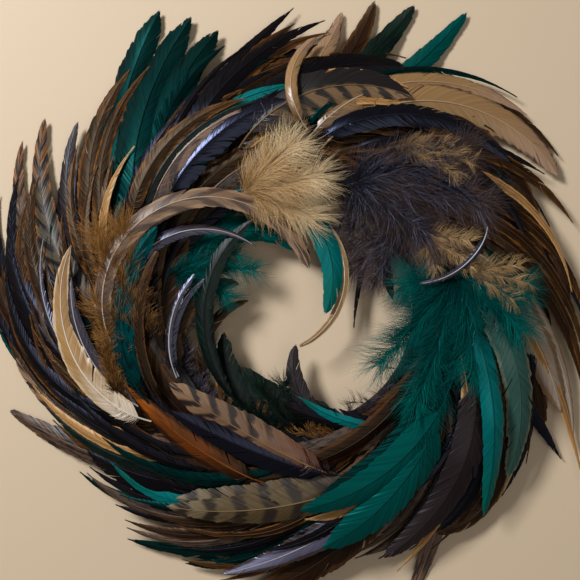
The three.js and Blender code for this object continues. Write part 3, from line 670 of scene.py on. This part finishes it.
# name, look, root, radius, fan of (aim, length), curl, layer, strand length, strands, CAD node if any
DOWN_PLUMES = [
    ("cream_down", "cream_down", 115, 76, [(22, 42), (-10, 48), (-42, 44)], 8, 7.0, 25, 4200,
     "cream_down_plume"),
    ("black_down", "black_down", 67, 81, [(44, 76), (20, 84), (-6, 72)], 14, 6.4, 28, 5200,
     "black_down_plume"),
    ("teal_down", "teal_down", 14, 96, [(-84, 36), (-50, 74), (-28, 88), (0, 64), (36, 52), (62, 44)], 8,
     7.2, 25, 7400, "teal_down_plume"),
    ("brown_down", "brown_down", 192, 91, [(16, 76), (4, 74), (44, 40)], 10, 6.8, 19, 3600,
     "brown_down_plume"),
    ("upper_tan_down", "tan_down", 59, 112, [(26, 48), (12, 42), (40, 36)], 16, 7.0, 12, 1000, None),
    ("lower_brown_down", "brown_down", 208, 118, [(-24, 56), (-12, 50)], 10, 6.0, 12, 1600, None),
    ("tan_tuft", "tan_down", 31, 84, [(35, 34), (60, 30), (0, 22)], 14, 7.8, 12, 1300, None),
    ("ginger_tuft", "tan_down", 13, 101, [(72, 38), (90, 32), (50, 34)], 12, 8.2, 12, 1000, None),
    ("arch_teal_down", "teal_down", 166, 77, [(-40, 44), (-56, 52), (-80, 38)], 30, 4.6, 17, 2000, None),
    ("right_inner_down", "black_down", 40, 80, [(-79, 42), (-58, 40), (-98, 36)], 14, 3.0, 17, 2400, None),
    ("lower_green_down", "green", 272, 74, [(-60, 34), (-36, 42), (-14, 44)], 24, 2.2, 15, 2400, None),
    ("upper_inner_down", "black_down", 60, 78, [(-75, 32), (-50, 30), (-96, 28)], 14, 3.4, 13, 900, None),
]
INNER_DOWN_LOOKS = ["black_down", "black_down", "teal_down", "black_down", "brown_down", "black_down"]
INNER_DOWN_RADIUS = 82  # mm
PLUMES_EACH, STRANDS_EACH = 7, 150  # plumes in each group of inner down, and strands on each plume


def build_down():
    for name, look, root, radius, fan, curl, layer, reach, count, node in DOWN_PLUMES:
        piece = down_plume(name, look, root, radius, fan, curl, layer, reach, count)
        if node:
            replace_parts(piece, node)
    spread = 360 / len(INNER_DOWN_LOOKS)
    for group, look in enumerate(INNER_DOWN_LOOKS):
        parts = Parts()
        for k in range(PLUMES_EACH):
            root = (group + k / PLUMES_EACH) * spread + RANDOM.uniform(-3, 3)
            aim, length, layer = RANDOM.uniform(-48, -24), RANDOM.uniform(20, 32), RANDOM.uniform(0.6, 2.6)
            spine = Spine(root, INNER_DOWN_RADIUS, aim, 20, length, layer)
            add_quill(parts, spine, 0.35)
            add_strands(parts, spine, (0, 0.95), STRANDS_EACH, 13, (15, 80), 35)
        build_look(parts, f"inner_down_{group + 1}", look)


# Rings of like feathers that make up the heap's depth: name, looks in turn, feathers, then the least and
# greatest of root radius, aim, curl, length, width and layer.
TIP_RADII = (152, 176)  # how far out the tips of these feathers come, mm
SAME_LOOK_RUN = 2  # feathers side by side before the next look
RINGS = [
    ("under_feathers", ["brown", "black"], 48, (90, 94), (24, 44), (44, 76), (108, 142), (17, 24),
     (-0.6, 0.6)),
    ("long_hackles", ["brown", "black", "gold_edge", "brown", "dark_teal", "black", "mottled"], 90,
     (92, 98), (34, 56), (62, 98), (132, 166), (6, 12), (0.2, 2.4)),
    ("short_hackles", ["black", "gold_edge", "brown", "black", "ginger", "brown", "dark_teal"], 72,
     (90, 100), (14, 38), (44, 80), (96, 128), (6, 12), (1.6, 3.8)),
    ("crown_feathers", ["black", "brown", "mottled", "brown"], 32, (80, 86), (0, 16), (50, 76), (84, 112),
     (14, 22), (1.8, 3.6)),
]


def build_rings():
    """Each piece holds one look's feathers of one ring."""
    for kind, looks, count, radii, aims, curls, lengths, widths, layers in RINGS:
        gathered = {}
        for k in range(count):
            root = (k + RANDOM.uniform(-0.5, 0.5)) * 360 / count
            length = RANDOM.uniform(*lengths)
            reach = RANDOM.uniform(*TIP_RADII)
            place = RANDOM.uniform(*radii), RANDOM.uniform(*aims), RANDOM.uniform(*curls)
            layer, roll = RANDOM.uniform(*layers), RANDOM.uniform(-22, 8)
            spine = Spine(root, *place, length, layer, roll)
            while np.hypot(*spine.points[-1, :2]) > reach:
                length *= 0.95
                spine = Spine(root, *place, length, layer, roll)
            width = RANDOM.uniform(*widths)
            parts = gathered.setdefault(looks[k // SAME_LOOK_RUN % len(looks)], Parts())
            add_quill(parts, spine, quill_radius(width))
            add_vane(parts, spine, "broad" if width > 13 else "lance", width, 0.08, barb_gap=0.85)
        for look, parts in gathered.items():
            build_look(parts, f"{kind}_{look}", look)


build_feathers()
build_down()
build_rings()


# ---- the ring and clips ----
RING_STEPS = 432
ROUNDINGS = 3  # how often a cloth outline's corners are averaged
OUTLINE_STEP = 0.7  # mm between the points of a cloth outline
LINING_INNER, LINING_OUTER = 75, 95  # mm, the edges of the felt
TAPE_EDGES = {"outer": (90.2, 94), "middle": (84, 88.4), "top": (78.4, 82)}  # mm
INNER_BINDING_EDGE = 69.4  # mm, how far in the inner binding reaches
BINDING_FOLD = 6  # mm that a binding folds over the base
BINDING_CLOTH = 0.5  # mm
THREAD_RADIUS = 0.22
STITCH_LENGTH, STITCH_SLANT, STITCH_POINTS = 2.4, 0.012, 6  # mm, radians round the ring, points


def cloth_look(name, dark, light, threads_round, threads_across, roughness=0.9, fuzz=0.25):
    """Woven cloth on a ring: threads run round the ring and across it, in the ring's own coordinates."""
    nodes = Nodes(name)
    round_ring, across, _ = nodes.coordinates()
    round_wave = nodes.math("SINE", nodes.math("MULTIPLY", round_ring, 2 * math.pi * threads_round))
    across_wave = nodes.math("SINE", nodes.math("MULTIPLY", across, 2 * math.pi * threads_across))
    weave = nodes.math("MULTIPLY_ADD", nodes.math("MULTIPLY", round_wave, across_wave), 0.5, 0.5)
    place = nodes.add("ShaderNodeTexCoord").outputs["Object"]
    fluff = nodes.noise(place, 900, 3.0)
    share = nodes.math("MULTIPLY_ADD", nodes.math("SUBTRACT", fluff, 0.5), fuzz * 4, weave)
    nodes.finish("Base Color", nodes.mix(nodes.ease(share, 0, 1), dark, light))
    nodes.finish("Roughness", roughness)
    nodes.finish("Sheen Weight", 0.2)
    return nodes.material


def metal_look(name, color, worn):
    """Brushed metal, its fine streaks along X."""
    nodes = Nodes(name)
    place = nodes.add("ShaderNodeTexCoord").outputs["Object"]
    stretch = nodes.add("ShaderNodeMapping")
    stretch.inputs["Scale"].default_value = (3000, 260, 260)
    nodes.put(stretch.inputs["Vector"], place)
    brushed = nodes.noise(stretch.outputs[0], 1.0, 2.0)
    nodes.finish("Base Color", nodes.mix(nodes.ease(brushed, 0.3, 0.7), color, worn))
    nodes.finish("Metallic", 1.0)
    nodes.finish("Roughness", 0.3)
    return nodes.material


def cloth_ring(name, look, slot, outline_points, node, pucker=0.15, puckers=72, closed=True):
    """A ring of cloth turned from an outline of [radius, height] in mm, drawn in by its stitches."""
    outline_points = np.array(outline_points, float)
    if closed:
        outline_points = np.vstack([outline_points, outline_points[:1]])
    lengths = np.r_[0, np.cumsum(np.linalg.norm(np.diff(outline_points, axis=0), axis=1))]
    fine = np.linspace(0, lengths[-1], max(12, int(lengths[-1] / OUTLINE_STEP)))
    radius = np.interp(fine, lengths, outline_points[:, 0])
    height = np.interp(fine, lengths, outline_points[:, 1])
    for _ in range(ROUNDINGS):
        for line in (radius, height):
            line[1:-1] = (line[:-2] + 2 * line[1:-1] + line[2:]) / 4
    turn = np.linspace(0, 2 * math.pi, RING_STEPS + 1)[:, None]
    middle = [(radius.min() + radius.max()) / 2, (height.min() + height.max()) / 2]
    draw = pucker * (1 - np.abs(np.cos(turn * puckers / 2)) ** 0.4)
    wander = 0.4 * pucker * np.sin(turn * 17 + 1) * np.sin(turn * 5)
    away = np.hypot(radius - middle[0], height - middle[1]) + 1e-6
    r = radius - (draw + wander) * (radius - middle[0]) / away
    z = height - (draw + wander) * (height - middle[1]) / away
    points = np.stack([r * np.cos(turn), r * np.sin(turn), z], -1)
    round_share = np.repeat(turn / (2 * math.pi), len(fine), 1)
    across_share = np.repeat(fine[None] / lengths[-1], RING_STEPS + 1, 0)
    coords = np.stack([round_share, across_share, np.ones_like(r)], -1)
    parts = Parts()
    parts.add(points, coords, grid_quads(RING_STEPS + 1, len(fine))[:, ::-1])
    piece = parts.build(name, look, slot)
    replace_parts(piece, node)
    return piece


def stitches(name, look, radius, height, count, lift):
    """Whip stitches: short thread arcs across an edge, all round the ring."""
    parts = Parts()
    t = np.linspace(0, 1, STITCH_POINTS)[:, None]
    turn = np.linspace(0, 2 * math.pi, STITCH_POINTS)
    for k in range(count):
        angle = 2 * math.pi * k / count + RANDOM.uniform(-0.004, 0.004)
        r = radius + STITCH_LENGTH * (t - 0.5) + THREAD_RADIUS * np.cos(turn)
        z = height + lift * np.sin(math.pi * t) + THREAD_RADIUS * np.sin(turn)
        way = angle + STITCH_SLANT * (t - 0.5) + 0 * turn
        points = np.stack([r * np.cos(way), r * np.sin(way), z], -1)
        coords = np.stack([t + 0 * turn, turn + 0 * t, np.ones_like(r)], -1)
        parts.add(points, coords, grid_quads(STITCH_POINTS, STITCH_POINTS))
    return parts.build(name, look, "cloth")


def paint(piece, look):
    piece.data.materials.clear()
    piece.data.materials.append(look)


def heights(node):
    """The bottom and top of a CAD node, in mm."""
    low, high = (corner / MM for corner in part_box(node))
    return low.z, high.z


def build_lining(thread):
    felt = cloth_look("black_felt", (16, 14, 14), (34, 31, 30), 90, 3, 0.95, 1.0)
    bottom, top = heights("felt_lining")
    lining = cloth_ring("stitched_felt_lining", felt, "felt", [
        [LINING_INNER, top], [LINING_INNER, bottom], [LINING_OUTER, bottom], [LINING_OUTER, top]],
        "felt_lining", 0.08, 90, closed=False)
    stitches("lining_stitches", thread, LINING_OUTER - STITCH_LENGTH / 2, bottom, 120, -0.35)
    stitches("inner_lining_stitches", thread, LINING_INNER + STITCH_LENGTH / 2, bottom, 100, -0.35)


def build_roll():
    """The padding roll, stepped where the middle tape is sewn on."""
    cotton = cloth_look("padding_cotton", (15, 13, 13), (38, 34, 33), 900, 60)
    bottom, top = heights("padding_roll")
    step = bottom + 5.4
    padding = cloth_ring("stuffed_padding_roll", cotton, "cloth", [
        [77.4, bottom + 0.2], [89, bottom + 0.2], [89.6, bottom + 2.4], [88.6, step], [83.8, step + 0.1],
        [83.2, top - 1.5], [82, top], [78.4, top], [76.9, top - 2.5], [76.8, bottom + 2]],
        "padding_roll", 0.35, 60)


def build_trims():
    """The bindings that wrap the rim wires, and the header tapes."""
    tape = cloth_look("header_tape", (14, 12, 12), (36, 32, 31), 700, 6)
    for side, name in ((1, "outer"), (-1, "inner")):
        node = f"{name}_edge_binding"
        bottom, top = heights(node)
        far = (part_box(node)[1] / MM).x if side > 0 else INNER_BINDING_EDGE
        lap = LINING_OUTER + 0.3 if side > 0 else LINING_INNER - 0.3
        fold = far - side * BINDING_FOLD
        inside = far - side * BINDING_CLOTH
        cloth_ring(f"{name}_bias_binding", tape, "cloth", [
            [lap, bottom], [far, bottom], [far, top], [fold, top], [fold, top - BINDING_CLOTH],
            [inside, top - BINDING_CLOTH], [inside, bottom + BINDING_CLOTH], [lap, bottom + BINDING_CLOTH],
        ][::side], node, 0.12, 80)
    for name, (near, far) in TAPE_EDGES.items():
        node = f"{name}_header_tape"
        bottom, top = heights(node)
        cloth_ring(f"{name}_sewn_tape", tape, "cloth", [
            [near, bottom], [far, bottom], [far, top], [near, top]], node, 0.1, 84)


def build_ring():
    thread = cloth_look("sewing_thread", (28, 25, 24), (58, 52, 50), 30, 3, 0.6)
    build_lining(thread)
    build_roll()
    build_trims()
    buckram = cloth_look("buckram", (20, 17, 15), (48, 42, 37), 400, 40)
    paint(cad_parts["buckram_base"], buckram)


def build_clips():
    """Steel for the clips and for the rim wires."""
    steel = metal_look("nickel_steel", (176, 176, 180), (196, 196, 198))
    for node_name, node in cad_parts.items():
        if "clip" in node_name or "wire" in node_name:
            paint(node, steel)


build_ring()
build_clips()


# ---- floor, light and camera ----
FLOOR_HALF = 4.0  # m
FLOOR_COLOR = (214, 190, 158)
WORLD_COLOR, WORLD_STRENGTH = (0.92, 0.95, 1.0, 1.0), 0.11
# name, place in m, size in m, power in W, colour
LIGHTS = [
    ("window", (-0.75, 0.65, 1.0), 0.36, 20, (0.92, 0.95, 1.0)),
    ("ceiling", (0.3, -0.2, 1.4), 1.0, 3, (1.0, 0.95, 0.88)),
]
LIGHTS_AIM = (0, 0, 0.02)
CAMERA_AIM = (-0.0048, 0.012, 0.02)
CAMERA_FIELD = 0.348  # m across the picture at the aim
CAMERA_LENS, CAMERA_SENSOR = 60, 36  # mm


def build_floor():
    mesh = bpy.data.meshes.new("floor")
    half = FLOOR_HALF
    corners = [(-half, -half, 0), (half, -half, 0), (half, half, 0), (-half, half, 0)]
    mesh.from_pydata(corners, [], [(0, 1, 2, 3)])
    floor = add_object("floor", mesh)
    nodes = Nodes("pale_floor")
    nodes.finish("Base Color", rgba(FLOOR_COLOR))
    nodes.finish("Roughness", 0.6)
    mesh.materials.append(nodes.material)


def build_lights():
    world = bpy.data.worlds.new("studio")
    world.use_nodes = True
    world.node_tree.nodes["Background"].inputs["Color"].default_value = WORLD_COLOR
    world.node_tree.nodes["Background"].inputs["Strength"].default_value = WORLD_STRENGTH
    bpy.context.scene.world = world
    for name, place, size, power, color in LIGHTS:
        light = bpy.data.lights.new(name, "AREA")
        light.shape = "DISK"
        light.size = size
        light.energy = power
        light.color = color
        lamp = add_object(name, light)
        lamp.location = place
        lamp.rotation_euler = (Vector(LIGHTS_AIM) - Vector(place)).to_track_quat("-Z", "Y").to_euler()


def build_camera():
    """Straight above the ring, as in the photo."""
    camera = bpy.data.cameras.new("camera")
    camera.lens = CAMERA_LENS
    camera.sensor_width = CAMERA_SENSOR
    holder = add_object("camera", camera)
    holder.location = Vector(CAMERA_AIM) + Vector((0, 0, CAMERA_FIELD * CAMERA_LENS / CAMERA_SENSOR))
    bpy.context.scene.camera = holder


build_floor()
build_lights()
build_camera()
bpy.context.scene.view_settings.view_transform = "Standard"
